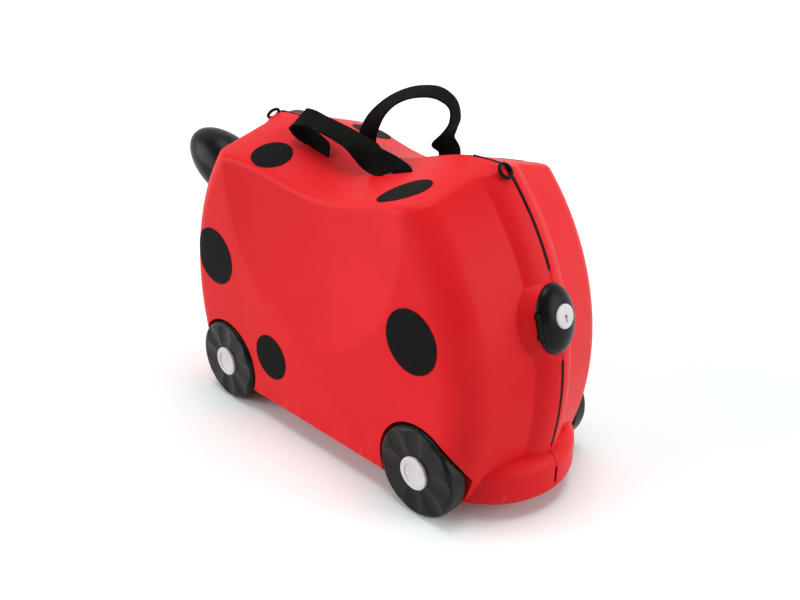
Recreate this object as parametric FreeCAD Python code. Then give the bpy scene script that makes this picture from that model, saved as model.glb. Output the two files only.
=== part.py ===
import FreeCAD
import Part
import math
import os

V = FreeCAD.Vector

# Ride-on suitcase, millimetres: +X forward, +Y the rider's left, +Z up.
# The origin is on the ground under the middle of the body.

# Body shell
CASE_LENGTH = 451.0
SIDE_Y = 97.0
FLOOR_Z = 22.0
WALL = 2.6
SEAM_GAP = 0.45
END_CENTRE_Z = 120.0
SPINE_RADIUS = 275.5
SPINE_ROUND = 36.0
SPINE_FOOT_FILLET = 7.0
CHEEK_BACK = 11.2
CHEEK_TILT_DEG = 13.0
CORNER_RADIUS = 34.0
FRONT_CORNER_RADIUS = 22.0
SEAT_Z = 287.0
REAR_SEAT_RISE = 23.0
FRONT_SEAT_RISE = 19.0
CREST_BACK = 95.5
ROOF_FALL_DEG = 15.0
ROOF_EDGE = 8.0
FLOOR_EDGE = 5.0
OVERRUN = 30.0

# Leg recess in each side
RECESS_BACK = 4.0
RECESS_HALF_Z = 153.0
RECESS_Z = 270.0
RECESS_DEPTH = 12.0
RECESS_BULGE = 60.0
RECESS_EDGE = 18.0

# Bumper at the foot of each end
BUMPER_BACK = 84.5
BUMPER_RADIUS = 86.0
BUMPER_LOW_Z = 16.0
BUMPER_TOP_Z = 58.0
BUMPER_TOP_ROUND = 15.0
BUMPER_LOW_ROUND = 8.0

# Seam slots and the trim strip behind the seam
SLOT_HALF = 2.0
SLOT_TOP_BACK = 113.5
UPPER_SLOT_Z = 230.0
LOWER_SLOT_TOP_Z = 150.0
LOWER_SLOT_LOW_Z = 64.0
BUMPER_SLOT_TOP_Z = 42.0
BUMPER_SLOT_LOW_Z = 28.0
TRIM_THICK = 2.0
TRIM_REACH = 5.0
TRIM_CLEAR = 0.4
TRIM_LOW_Z = 60.0
RIB_SUNK = 0.6
RIB_CLEAR = 0.5

# Wheels and axles
WHEEL_BACK = 80.25
WHEEL_RADIUS = 45.0
WHEEL_WIDTH = 20.0
WHEEL_EDGE = 6.0
WHEEL_BACK_EDGE = 2.5
WHEEL_SIDE_GAP = 5.0
WHEEL_FACETS = 8
FACET_RADIUS = 42.0
FACET_DEPTH = 1.3
ARCH_GAP = 3.0
CAP_PROUD = 5.5
CAP_RADIUS = 16.0
CAP_THICK = 4.5
CAP_STAND = 1.6
CAP_EDGE = 1.2
CAP_DISC_RADIUS = 10.5
CAP_DISC_DEPTH = 0.7
AXLE_RADIUS = 6.0
AXLE_TAIL = 5.0
RUN_CLEAR = 0.06
FACE_CLEAR = 0.3
BOSS_RADIUS = 11.0
BOSS_DEPTH = 12.0
CLIP_RADIUS = 11.0
CLIP_THICK = 1.4
WHEEL_RIM = 5.0
WHEEL_FACE = 7.5
WHEEL_HUB_RADIUS = 13.0
WHEEL_RIBS = 6
WHEEL_RIB = 3.0

# Case hinge under the floor
HINGE_Z = 15.0
HINGE_LENGTH = 168.0
KNUCKLES = 7
KNUCKLE_RADIUS = 5.0
KNUCKLE_GAP = 0.5
HINGE_PIN_RADIUS = 2.0

# Latch on each end
LATCH_Y = 8.0
LATCH_Z = 191.0
LATCH_HALF_Y = 24.0
LATCH_HALF_Z = 31.0
LATCH_RISE = 13.0
LATCH_WALL = 2.2
LATCH_PAD_MARGIN = 0.5
LATCH_PAD_DEPTH = 16.0
LATCH_PAD_SPREAD = 9.0
LATCH_BARREL = 2.2
LATCH_KNUCKLE_HALF = 6.0
LATCH_EAR_HALF = 11.5
LATCH_NOTCH_CLEAR = 1.2
LATCH_PIN_RADIUS = 1.0
LATCH_PLATE_THICK = 1.6
LATCH_SCREW_RADIUS = 1.5
LATCH_SCREW_HEAD = 3.0
LATCH_SCREW_HEAD_THICK = 1.4
LATCH_SCREW_LENGTH = 7.0
LATCH_SCREW_Z = 7.5

# Key lock in each latch
LOCK_RADIUS = 10.5
LOCK_Z = 3.0
LOCK_PROUD = 0.8
LOCK_EDGE = 1.2
LOCK_TAIL_RADIUS = 5.0
LOCK_TAIL = 3.5
LOCK_CLIP_RADIUS = 6.6
LOCK_CLIP_THICK = 1.2
KEY_SLOT_LENGTH = 5.0
KEY_SLOT_WIDTH = 1.8
KEY_SLOT_DEPTH = 2.5

# Tow eye at the top of each end
TOW_ROD = 1.8
TOW_FRONT_BACK = 109.5
TOW_CORNER_BACK = 73.5
TOW_END_Z = 276.0
TOW_SUNK = 0.8
TOW_PEG_RADIUS = 1.3
TOW_PEG_LENGTH = 5.5
TOW_BEND = 7.5
TOW_RING_RADIUS = 6.4
TOW_RING_ROD = 1.6
TOW_RING_STEP = 5.0
TOW_RING_LIFT = 3.0
TOW_RING_LEAN_DEG = 90.0

# Horn grips on the front corners
HORN_BACK = 50.5
HORN_Y = 54.3
HORN_Z = 249.5
HORN_AXIS = (0.85, 0.15, 0.50)
HORN_RADIUS = 30.0
HORN_LENGTH = 57.0
HORN_SUNK = 14.0
HORN_STUD_RADIUS = 6.0
HORN_STUD_LENGTH = 18.0
HORN_NUT_RADIUS = 12.0
HORN_NUT_THICK = 6.0

# Webbing carry handles
STRAP_WIDTH = 26.0
STRAP_THICK = 2.0
STRAP_Y = 31.0
STRAP_FEET_X = (-59.0, 54.0)
STRAP_TAIL = 9.0
STRAP_SLOT_CLEAR = 0.5
LOOP_WIDTH = 78.0
LOOP_HEIGHT = 60.0
PLATE_X = 34.0
PLATE_Y = 20.0
PLATE_THICK = 3.0
CLAMP_X = 31.0
CLAMP_Y = 9.0

# Packing straps inside the left half
PACK_STRAP_WIDTH = 22.0
PACK_STRAP_THICK = 1.6
PACK_STRAP_Y = 12.0
PACK_STRAP_ANGLE_DEG = 24.0
PACK_STRAP_Z = 160.0
PACK_ANCHOR_LENGTH = 16.0
PACK_ANCHOR_THICK = 6.0
BUCKLE_RADIUS = 24.0
BUCKLE_THICK = 9.0
BUCKLE_EDGE = 2.0

# Stations of each loop between its feet, from the rear one to the front one: place along the case and
# height above the seat, in shares of the loop's half width and height, then twist and lean of the
# webbing in shares of a right angle. The feet shares say which edge of the webbing leads in each slot.
SLUMPED_LOOP_SHARES = [
    (-0.724, 0.058, -0.889, 0.178), (-0.628, 0.05, -0.711, 0.356), (-0.513, 0.058, -0.578, 0.511),
    (-0.385, 0.075, -0.556, 0.667), (-0.269, 0.108, -0.5, 0.644), (-0.167, 0.183, -0.278, 0.356),
    (-0.026, 0.267, -0.089, 0.144), (0.179, 0.342, -0.011, 0.111), (0.462, 0.408, 0, 0.1),
    (0.744, 0.458, 0.056, 0.133), (0.936, 0.483, 0.156, 0.222), (1.064, 0.45, 0.211, 0.267),
    (1.115, 0.342, 0.133, 0.089), (1.013, 0.242, -0.067, -0.022), (0.859, 0.15, -0.333, -0.022),
    (0.731, 0.083, -0.689, 0), (0.692, 0.042, -0.989, 0)]
SLUMPED_FEET_SHARES = (1, 1)
STANDING_LOOP_SHARES = [
    (-0.756, 0.117, 0.956, 0), (-0.705, 0.2, 0.556, 0), (-0.667, 0.3, 0.111, 0),
    (-0.744, 0.45, -0.111, 0), (-0.833, 0.65, -0.222, 0), (-0.808, 0.867, -0.3, -0.044),
    (-0.603, 1, -0.311, -0.111), (-0.256, 0.975, -0.311, -0.156), (0.103, 0.817, -0.422, -0.178),
    (0.397, 0.567, -0.644, -0.156), (0.59, 0.292, -0.867, -0.111), (0.679, 0.067, -0.978, -0.022)]
STANDING_FEET_SHARES = (-1, 1)

# Where an end's plan starts, as a share of the distance to its centre, and how edges are picked
HUB_SHARE = 0.5
SADDLE_STEPS = 16
PROBE_SHARES = (0.02, 0.5, 0.98)
NEAR_SHARE = 0.125
RIM_SHARE = 0.02

END_X = CASE_LENGTH / 2
END_CENTRE_X = SPINE_RADIUS - END_X
CHEEK_DISTANCE = SPINE_RADIUS - CHEEK_BACK
CREST_X = END_X - CREST_BACK
RECESS_HALF_X = CREST_X - RECESS_BACK
BUMPER_X = END_X - BUMPER_BACK
WHEEL_X = END_X - WHEEL_BACK
SLOT_TOP_X = END_X - SLOT_TOP_BACK
TOW_FRONT_X = END_X - TOW_FRONT_BACK
TOW_CORNER_X = END_X - TOW_CORNER_BACK
ROOF_FALL = math.tan(math.radians(ROOF_FALL_DEG))
CAP_FACE_Y = SIDE_Y + CAP_PROUD
WHEEL_OUT_Y = CAP_FACE_Y - CAP_STAND
WHEEL_IN_Y = WHEEL_OUT_Y - WHEEL_WIDTH
WELL_Y = WHEEL_IN_Y - WHEEL_SIDE_GAP
REACH_X = END_X + OVERRUN
TOP_Z = SEAT_Z + REAR_SEAT_RISE + OVERRUN


def box(x0, x1, y0, y1, z0, z1):
    return Part.makeBox(x1 - x0, y1 - y0, z1 - z0, V(x0, y0, z0))


def rod(radius, start, direction, length):
    return Part.makeCylinder(radius, length, start, direction)


def other_end(shape):
    return shape.mirror(V(0, 0, 0), V(1, 0, 0))


def other_side(shape):
    return shape.mirror(V(0, 0, 0), V(0, 1, 0))


def both_ends(shape):
    return [shape, other_end(shape)]


def write(name, *shapes):
    """One node: a single solid, or a group of separate solids."""
    solids = [solid for shape in shapes for solid in shape.Solids]
    node = solids[0] if len(solids) == 1 else Part.makeCompound(solids)
    node.exportStep("parts/" + name + ".step")
    volume = sum(solid.Volume for solid in solids)
    print(name, len(solids), "solid(s)", round(volume), "mm3", "valid" if node.isValid() else "INVALID")


# Outer form of one half, with every face set in by the same inset

def end_point(rho, y):
    return V(END_CENTRE_X, y, END_CENTRE_Z - rho)


def end_profile(inset, corner_radius):
    """Half plan of an end: rounded spine, foot fillet, slanted cheek and round corner."""
    tilt = math.radians(CHEEK_TILT_DEG)
    spine_centre = SPINE_RADIUS - SPINE_ROUND
    spine_round = SPINE_ROUND - inset
    corner = corner_radius - inset
    foot = SPINE_FOOT_FILLET + inset
    corner_y = SIDE_Y - corner_radius
    corner_rho = (CHEEK_DISTANCE - corner_radius - corner_y * math.sin(tilt)) / math.cos(tilt)
    cheek = CHEEK_DISTANCE - inset

    turn = tilt + math.acos((cheek + foot - spine_centre * math.cos(tilt)) / (spine_round + foot))

    def spine_at(angle):
        return end_point(spine_centre + spine_round * math.cos(angle), spine_round * math.sin(angle))

    foot_rho = spine_centre + (spine_round + foot) * math.cos(turn)
    foot_y = (spine_round + foot) * math.sin(turn)

    def foot_at(angle):
        return end_point(foot_rho - foot * math.cos(angle), foot_y - foot * math.sin(angle))

    def corner_at(angle):
        return end_point(corner_rho + corner * math.cos(angle), corner_y + corner * math.sin(angle))

    right_angle = math.pi / 2
    hub = END_CENTRE_X * HUB_SHARE
    side = SIDE_Y - inset
    edges = [
        Part.LineSegment(end_point(hub, 0), spine_at(0)).toShape(),
        Part.Arc(spine_at(0), spine_at(turn / 2), spine_at(turn)).toShape(),
        Part.Arc(foot_at(turn), foot_at((turn + tilt) / 2), foot_at(tilt)).toShape(),
        Part.LineSegment(foot_at(tilt), corner_at(tilt)).toShape(),
        Part.Arc(corner_at(tilt), corner_at((tilt + right_angle) / 2), corner_at(right_angle)).toShape(),
        Part.LineSegment(corner_at(right_angle), end_point(hub, side)).toShape(),
        Part.LineSegment(end_point(hub, side), end_point(hub, 0)).toShape(),
    ]
    return Part.Face(Part.Wire(edges))


def seat_height(x):
    rise = FRONT_SEAT_RISE if x > 0 else REAR_SEAT_RISE
    return SEAT_Z + rise * (1 - math.cos(math.pi * x / CREST_X)) / 2


def roof_height(x, y, inset=0):
    return seat_height(x) - ROOF_FALL * y - inset / math.cos(math.atan(ROOF_FALL))


def above_roof(inset):
    """Everything above the saddle, which falls away evenly to the side."""
    half = CREST_X + CORNER_RADIUS + OVERRUN
    line = [V(half * i / SADDLE_STEPS, 0, 0) for i in range(-SADDLE_STEPS, SADDLE_STEPS + 1)]
    line = [V(point.x, 0, roof_height(point.x, 0, inset)) for point in line]
    saddle = Part.BSplineCurve()
    saddle.interpolate(line)
    high = TOP_Z + OVERRUN
    corners = [line[-1], V(half, 0, high), V(-half, 0, high), line[0]]
    walls = [Part.LineSegment(a, b).toShape() for a, b in zip(corners, corners[1:])]
    face = Part.Face(Part.Wire([saddle.toShape()] + walls))
    start = face.translated(V(0, -OVERRUN, ROOF_FALL * OVERRUN))
    run = SIDE_Y + 2 * OVERRUN
    return start.extrude(V(0, run, -ROOF_FALL * run))


def leg_recess(inset):
    """Shallow dish, cut by an egg that dips into the side."""
    dip = 1 - RECESS_DEPTH / RECESS_BULGE
    spread = math.sqrt(1 - dip * dip)
    grow = FreeCAD.Matrix()
    grow.scale(V(RECESS_HALF_X / spread, RECESS_BULGE, RECESS_HALF_Z / spread))
    egg = Part.makeSphere(1).transformGeometry(grow)
    return egg.translated(V(0, SIDE_Y - inset - RECESS_DEPTH + RECESS_BULGE, RECESS_Z))


def edges_where(shape, test):
    """Edges whose two ends and middle all pass the test."""
    picked = []
    for edge in shape.Edges:
        first, last = edge.ParameterRange
        points = [edge.valueAt(first + (last - first) * share) for share in PROBE_SHARES]
        if all(test(point) for point in points):
            picked.append(edge)
    return picked


def half_body(inset, rounded):
    """Left half as a filled form, ends and roof and recess, down to the floor."""
    low = FLOOR_Z + inset
    ends = []
    for corner_radius in (CORNER_RADIUS, FRONT_CORNER_RADIUS):
        profile = end_profile(inset, corner_radius)
        disc = profile.revolve(V(END_CENTRE_X, 0, END_CENTRE_Z), V(0, 1, 0), 180)
        ends.append(disc.common(box(-REACH_X, 0, 0, SIDE_Y, low, TOP_Z)))
    body = ends[0].fuse(other_end(ends[1])).removeSplitter()
    body = body.cut(leg_recess(inset))
    if rounded:
        rim = edges_where(body, lambda p: in_recess_rim(p, SIDE_Y - inset))
        body = body.makeFillet(RECESS_EDGE, rim)
    body = body.cut(above_roof(inset))
    near = ROOF_EDGE * NEAR_SHARE

    def on_roof(p):
        return abs(p.z - roof_height(p.x, p.y, inset)) < near and p.y > near

    def on_floor(p):
        return abs(p.z - low) < near and p.y > near

    if rounded:
        body = body.makeFillet(ROOF_EDGE - inset, edges_where(body, on_roof))
        body = body.makeFillet(FLOOR_EDGE - inset, edges_where(body, on_floor))
    return body


def in_recess_rim(p, side):
    ring = (p.x / RECESS_HALF_X) ** 2 + ((p.z - RECESS_Z) / RECESS_HALF_Z) ** 2
    return abs(p.y - side) < RECESS_DEPTH * RIM_SHARE and abs(ring - 1) < RECESS_DEPTH / RECESS_HALF_X


def bumper(inset):
    """Round chin at the foot of the rear end, left half."""
    low = BUMPER_LOW_Z + inset
    drum = rod(BUMPER_RADIUS - inset, V(-BUMPER_X, 0, low), V(0, 0, 1), BUMPER_TOP_Z - inset - low)
    top = [e for e in drum.Edges if e.BoundBox.ZMin > BUMPER_TOP_Z - inset - BUMPER_TOP_ROUND]
    drum = drum.makeFillet(BUMPER_TOP_ROUND - inset, top)
    foot = [e for e in drum.Edges if e.BoundBox.ZMax < low + BUMPER_LOW_ROUND / 2]
    drum = drum.makeFillet(BUMPER_LOW_ROUND - inset, foot)
    return drum.common(box(-REACH_X, -BUMPER_X, 0, SIDE_Y, 0, TOP_Z))


def wheel_well(grow):
    """Space for the rear left wheel, open outwards and downwards."""
    centre = V(-WHEEL_X, WELL_Y - grow, WHEEL_RADIUS)
    return rod(WHEEL_RADIUS + ARCH_GAP + grow, centre, V(0, 1, 0), SIDE_Y + OVERRUN - WELL_Y)


def axle_boss():
    """Tube through the well's wall that holds the rear left axle."""
    low = WELL_Y - BOSS_DEPTH
    return rod(BOSS_RADIUS, V(-WHEEL_X, low, WHEEL_RADIUS), V(0, 1, 0), WHEEL_IN_Y - FACE_CLEAR - low)


def axle_bore(radius):
    return rod(radius, V(-WHEEL_X, 0, WHEEL_RADIUS), V(0, 1, 0), CAP_FACE_Y)


def outer_half():
    body = half_body(0, True)
    for end in both_ends(bumper(0)):
        body = body.fuse(end)
    for well in both_ends(wheel_well(0)):
        body = body.cut(well)
    return body


def inner_half():
    """The packing space of the left half."""
    space = half_body(WALL, True)
    for end in both_ends(bumper(WALL)):
        space = space.fuse(end)
    for well in both_ends(wheel_well(WALL)):
        space = space.cut(well)
    return space


def seam_slots(half, spans):
    """Upright round-ended slots across the seam of the rear end."""
    cuts = []
    for low, high in spans:
        cuts.append(box(-REACH_X, -SLOT_TOP_X, -half, half, low, high))
        for z in (low, high):
            cuts.append(rod(half, V(-REACH_X, 0, z), V(1, 0, 0), REACH_X - SLOT_TOP_X))
    return cuts


TRIM_SLOTS = [(UPPER_SLOT_Z, TOP_Z), (LOWER_SLOT_LOW_Z, LOWER_SLOT_TOP_Z)]
ALL_SLOTS = TRIM_SLOTS + [(BUMPER_SLOT_LOW_Z, BUMPER_SLOT_TOP_Z)]


# Latch frame: x out of the case, y to the rider's right, z up along the spine

def latch_frame():
    lift = math.asin((LATCH_Z - END_CENTRE_Z) / SPINE_RADIUS)
    c = math.cos(lift)
    s = math.sin(lift)
    x = END_CENTRE_X - SPINE_RADIUS * c
    return FreeCAD.Placement(FreeCAD.Matrix(-c, 0, s, x, 0, -1, 0, LATCH_Y, s, 0, c, LATCH_Z, 0, 0, 0, 1))


def on_rear_end(shape):
    placed = shape.copy()
    placed.Placement = latch_frame().multiply(placed.Placement)
    return placed


def oval(half_y, half_z, x):
    ring = Part.Wire([Part.Ellipse(V(0, 0, 0), half_z, half_y).toShape()])
    ring.rotate(V(0, 0, 0), V(0, 1, 0), -90)
    return ring.translated(V(x, 0, 0))


def egg(inset):
    grow = FreeCAD.Matrix()
    grow.scale(V(LATCH_RISE - inset, LATCH_HALF_Y - inset, LATCH_HALF_Z - inset))
    return Part.makeSphere(1).transformGeometry(grow)


def latch_pad():
    """Swelling of the end that carries the latch, wider at its foot."""
    half_y = LATCH_HALF_Y - LATCH_PAD_MARGIN
    half_z = LATCH_HALF_Z - LATCH_PAD_MARGIN
    spread = LATCH_PAD_SPREAD
    rings = [oval(half_y, half_z, 0), oval(half_y + spread, half_z + spread, -LATCH_PAD_DEPTH)]
    return on_rear_end(Part.makeLoft(rings, True, True))


BARREL_X = LATCH_BARREL + FACE_CLEAR
BARREL_Y = LATCH_BARREL - LATCH_HALF_Y
LOCK_SEAT_X = LATCH_RISE - LATCH_WALL - LOCK_PROUD
LOCK_BACK_X = LOCK_SEAT_X - LATCH_WALL


def barrel(radius, z0, z1):
    return rod(radius, V(BARREL_X, BARREL_Y, z0), V(0, 0, 1), z1 - z0)


def latch_flap():
    """Hollow oval cover with a hinge knuckle on its left edge and a seat for the lock."""
    dome = egg(0)
    front = box(FACE_CLEAR, LATCH_RISE, -LATCH_HALF_Y, LATCH_HALF_Y, -LATCH_HALF_Z, LATCH_HALF_Z)
    flap = dome.common(front).cut(egg(LATCH_WALL))
    seat = rod(LOCK_RADIUS + LATCH_WALL / 2, V(LOCK_BACK_X, 0, LOCK_Z), V(1, 0, 0), LATCH_RISE)
    flap = flap.fuse(seat.common(dome))
    flap = flap.cut(rod(LOCK_RADIUS + RUN_CLEAR, V(LOCK_SEAT_X, 0, LOCK_Z), V(1, 0, 0), LATCH_RISE))
    flap = flap.cut(rod(LOCK_TAIL_RADIUS + RUN_CLEAR, V(0, 0, LOCK_Z), V(1, 0, 0), LATCH_RISE))
    notch_z = LATCH_EAR_HALF + LATCH_NOTCH_CLEAR
    notch_y = BARREL_Y + LATCH_BARREL + FACE_CLEAR
    notch_x = BARREL_X + LATCH_BARREL + FACE_CLEAR
    flap = flap.cut(box(0, notch_x, -LATCH_HALF_Y, notch_y, -notch_z, notch_z))
    half = LATCH_KNUCKLE_HALF
    web = box(BARREL_X, LATCH_RISE, BARREL_Y, notch_y + LATCH_WALL, -half, half).common(dome)
    flap = flap.fuse(web).fuse(barrel(LATCH_BARREL, -half, half))
    return flap.cut(barrel(LATCH_PIN_RADIUS + RUN_CLEAR, -LATCH_HALF_Z, LATCH_HALF_Z))


def latch_bracket():
    """Plate on the left half with two ears that carry the latch's pin."""
    plate = box(0, LATCH_PLATE_THICK, BARREL_Y, -LATCH_SCREW_HEAD, -LATCH_EAR_HALF, LATCH_EAR_HALF)
    inner = LATCH_KNUCKLE_HALF + FACE_CLEAR
    for low, high in ((-LATCH_EAR_HALF, -inner), (inner, LATCH_EAR_HALF)):
        foot = box(0, BARREL_X, BARREL_Y - LATCH_BARREL, BARREL_Y + LATCH_BARREL, low, high)
        plate = plate.fuse(foot).fuse(barrel(LATCH_BARREL, low, high))
    plate = plate.cut(barrel(LATCH_PIN_RADIUS + RUN_CLEAR, -LATCH_HALF_Z, LATCH_HALF_Z))
    plate = plate.cut(barrel(LATCH_BARREL + FACE_CLEAR, -inner, inner))
    for hole in latch_screw_holes():
        plate = plate.cut(hole)
    return plate


def latch_screw_y():
    return -2 * LATCH_SCREW_HEAD - FACE_CLEAR


def latch_screw_holes():
    places = [V(-LATCH_SCREW_LENGTH, latch_screw_y(), side * LATCH_SCREW_Z) for side in (-1, 1)]
    return [rod(LATCH_SCREW_RADIUS, p, V(1, 0, 0), LATCH_SCREW_LENGTH + LATCH_PLATE_THICK) for p in places]


def latch_screws():
    screws = []
    for side, shank in zip((-1, 1), latch_screw_holes()):
        start = V(LATCH_PLATE_THICK, latch_screw_y(), side * LATCH_SCREW_Z)
        screws.append(shank.fuse(rod(LATCH_SCREW_HEAD, start, V(1, 0, 0), LATCH_SCREW_HEAD_THICK)))
    return screws


def lock_barrel():
    """Round key lock: a broad face with a key slot, and a tail through the latch."""
    axis = V(1, 0, 0)
    top = LATCH_RISE + LOCK_PROUD
    disc = rod(LOCK_RADIUS, V(LOCK_SEAT_X, 0, LOCK_Z), axis, top - LOCK_SEAT_X)
    disc = disc.makeFillet(LOCK_EDGE, [e for e in disc.Edges if e.BoundBox.XMin > top - LOCK_EDGE])
    back = LOCK_BACK_X - LOCK_CLIP_THICK - LOCK_TAIL / 2
    tail = rod(LOCK_TAIL_RADIUS, V(back, 0, LOCK_Z), axis, LOCK_SEAT_X - back)
    half_width = KEY_SLOT_WIDTH / 2
    slot = box(top - KEY_SLOT_DEPTH, top, -half_width, half_width, LOCK_Z - KEY_SLOT_LENGTH, LOCK_Z)
    hole = rod(KEY_SLOT_WIDTH, V(top - KEY_SLOT_DEPTH, 0, LOCK_Z), axis, KEY_SLOT_DEPTH)
    return disc.fuse(tail).cut(slot).cut(hole)


def lock_clip():
    start = V(LOCK_BACK_X - LOCK_CLIP_THICK - FACE_CLEAR, 0, LOCK_Z)
    ring = rod(LOCK_CLIP_RADIUS, start, V(1, 0, 0), LOCK_CLIP_THICK)
    return ring.cut(rod(LOCK_TAIL_RADIUS, start, V(1, 0, 0), LOCK_CLIP_THICK))


# Hinge under the floor

def knuckle_span(i):
    pitch = HINGE_LENGTH / KNUCKLES
    return i * pitch - HINGE_LENGTH / 2, pitch - KNUCKLE_GAP


def hinge_rod(radius):
    return rod(radius, V(-HINGE_LENGTH / 2, 0, HINGE_Z), V(1, 0, 0), HINGE_LENGTH)


def knuckles(first, side):
    """Every second knuckle, with a web up to the floor on its own side."""
    found = []
    for i in range(first, KNUCKLES, 2):
        start, length = knuckle_span(i)
        tube = rod(KNUCKLE_RADIUS, V(start, 0, HINGE_Z), V(1, 0, 0), length)
        near, far = sorted((side * SEAM_GAP, side * KNUCKLE_RADIUS))
        web = box(start, start + length, near, far, HINGE_Z, FLOOR_Z + WALL / 2)
        found.append(tube.fuse(web).cut(hinge_rod(HINGE_PIN_RADIUS + RUN_CLEAR)))
    return found


# Carry handles

def foot_top(x):
    return roof_height(x, STRAP_Y)


def foot_low(x):
    return foot_top(x) - WALL - PLATE_THICK - STRAP_TAIL


def band_section(centre, run, across):
    """Outline of the webbing, square to its run."""
    thick = run.cross(across).normalize() * (STRAP_THICK / 2)
    half = across * (STRAP_WIDTH / 2)
    corners = [centre + half + thick, centre + half - thick, centre - half - thick, centre - half + thick]
    return Part.makePolygon(corners + corners[:1])


def loop_stations(shares, feet):
    """Centre and width direction of the webbing, from slot to slot."""
    tails = []
    for x, lead in zip(STRAP_FEET_X, feet):
        tails.append([(V(x, STRAP_Y, z), V(lead, 0, 0)) for z in (foot_low(x), foot_top(x))])
    stations = tails[0]
    for along, lift, twist, lean in shares:
        centre = V(LOOP_WIDTH * along, STRAP_Y, SEAT_Z + LOOP_HEIGHT * lift)
        turn = twist * math.pi / 2
        tip = lean * math.pi / 2
        across = V(-math.sin(turn) * math.cos(tip), math.cos(turn) * math.cos(tip), -math.sin(tip))
        stations.append((centre, across))
    return stations + tails[1][::-1]


def foot_block(x, half_x, half_y, low, top):
    return box(x - half_x, x + half_x, STRAP_Y - half_y, STRAP_Y + half_y, low, top)


def handle_strap(shares, feet):
    """Twisted loop of webbing with a straight tail through the roof at each foot."""
    stations = loop_stations(shares, feet)
    centres = [centre for centre, across in stations]
    runs = [V(0, 0, 1)] + [after - before for before, after in zip(centres, centres[2:])] + [V(0, 0, -1)]
    sections = [band_section(centre, run, across) for (centre, across), run in zip(stations, runs)]
    return Part.makeLoft(sections, True, True)


def strap_slots():
    half_x = STRAP_WIDTH / 2 + STRAP_SLOT_CLEAR
    half_y = STRAP_THICK / 2 + STRAP_SLOT_CLEAR
    return [foot_block(x, half_x, half_y, foot_low(x) - OVERRUN, TOP_Z) for x in STRAP_FEET_X]


def handle_plates(space):
    """Plates against the underside of the roof, one at each foot of a handle."""
    plates = []
    for x, slot in zip(STRAP_FEET_X, strap_slots()):
        block = foot_block(x, PLATE_X / 2, PLATE_Y / 2, foot_top(x) - OVERRUN, TOP_Z).common(space)
        plates.append(block.cut(space.translated(V(0, 0, -PLATE_THICK))).cut(slot))
    return plates


def handle_clamps(strap, space):
    """Blocks that grip the two tails of a handle, under the plates."""
    under_plates = space.translated(V(0, 0, -PLATE_THICK))
    clamps = []
    for x in STRAP_FEET_X:
        block = foot_block(x, CLAMP_X / 2, CLAMP_Y / 2, foot_low(x), TOP_Z)
        clamps.append(block.common(under_plates).cut(strap))
    return clamps


# Horn grips

def horn_axis():
    return V(*HORN_AXIS).normalize()


def horn_base():
    return V(END_X - HORN_BACK, HORN_Y, HORN_Z)


def horn_stud(radius):
    length = HORN_SUNK + HORN_STUD_LENGTH
    return rod(radius, horn_base() - horn_axis() * length, horn_axis(), length)


def horn(body):
    """Egg-shaped grip, cut to sit on the corner of the shell, with a stud through it."""
    nose = Part.Ellipse(V(0, 0, 0), HORN_LENGTH, HORN_RADIUS)
    corners = [V(0, HORN_RADIUS, 0), V(-HORN_SUNK, HORN_RADIUS, 0), V(-HORN_SUNK, 0, 0),
               V(HORN_LENGTH, 0, 0)]
    edges = [Part.ArcOfEllipse(nose, 0, math.pi / 2).toShape()]
    edges += [Part.LineSegment(a, b).toShape() for a, b in zip(corners, corners[1:])]
    grip = Part.Face(Part.Wire(edges)).revolve(V(0, 0, 0), V(1, 0, 0), 360)
    grip.Placement = FreeCAD.Placement(horn_base(), FreeCAD.Rotation(V(1, 0, 0), horn_axis()))
    return grip.cut(body).fuse(horn_stud(HORN_STUD_RADIUS))


def horn_nut(space):
    """Collar on the stud, against the inside of the wall."""
    start = horn_base() - horn_axis() * (HORN_SUNK + HORN_NUT_THICK)
    collar = rod(HORN_NUT_RADIUS, start, horn_axis(), HORN_SUNK + HORN_NUT_THICK).common(space)
    return collar.cut(horn_stud(HORN_STUD_RADIUS))


# Wheels and axles, rear left, later copied to the other three corners

def wheel():
    def at(y, r):
        return V(-WHEEL_X, y, WHEEL_RADIUS + r)

    axis = V(0, 1, 0)
    tyre = rod(WHEEL_RADIUS, at(WHEEL_IN_Y, 0), axis, WHEEL_WIDTH)
    tyre = tyre.makeFillet(WHEEL_EDGE, [e for e in tyre.Edges if e.BoundBox.YMin > WHEEL_OUT_Y - WHEEL_EDGE])
    inner = [e for e in tyre.Edges if e.BoundBox.YMax < WHEEL_IN_Y + WHEEL_BACK_EDGE]
    tyre = tyre.makeFillet(WHEEL_BACK_EDGE, inner)
    for i in range(WHEEL_FACETS):
        turn = 360 * i / WHEEL_FACETS
        groove = rod(FACET_RADIUS, V(0, 0, 0), V(0, 0, 1), WHEEL_RADIUS + OVERRUN)
        groove.rotate(V(0, 0, 0), axis, turn)
        tyre = tyre.cut(groove.translated(at(WHEEL_OUT_Y - FACET_DEPTH + FACET_RADIUS, 0)))
    hub = rod(CAP_RADIUS + FACE_CLEAR, at(CAP_FACE_Y - CAP_THICK - FACE_CLEAR, 0), axis, CAP_THICK + OVERRUN)
    return tyre.cut(hub).cut(wheel_hollow()).cut(axle_bore(AXLE_RADIUS + RUN_CLEAR))


def wheel_hollow():
    """Ring-shaped space in the back of a wheel, between its ribs."""
    axis = V(0, 1, 0)
    start = V(-WHEEL_X, WHEEL_IN_Y, WHEEL_RADIUS)
    depth = WHEEL_WIDTH - WHEEL_FACE
    ring = rod(WHEEL_RADIUS - WHEEL_RIM, start, axis, depth).cut(rod(WHEEL_HUB_RADIUS, start, axis, depth))
    for i in range(WHEEL_RIBS):
        rib = box(-WHEEL_RIB / 2, WHEEL_RIB / 2, 0, depth, 0, WHEEL_RADIUS)
        rib.rotate(V(0, 0, 0), axis, 360 * i / WHEEL_RIBS)
        ring = ring.cut(rib.translated(start))
    return ring


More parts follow.
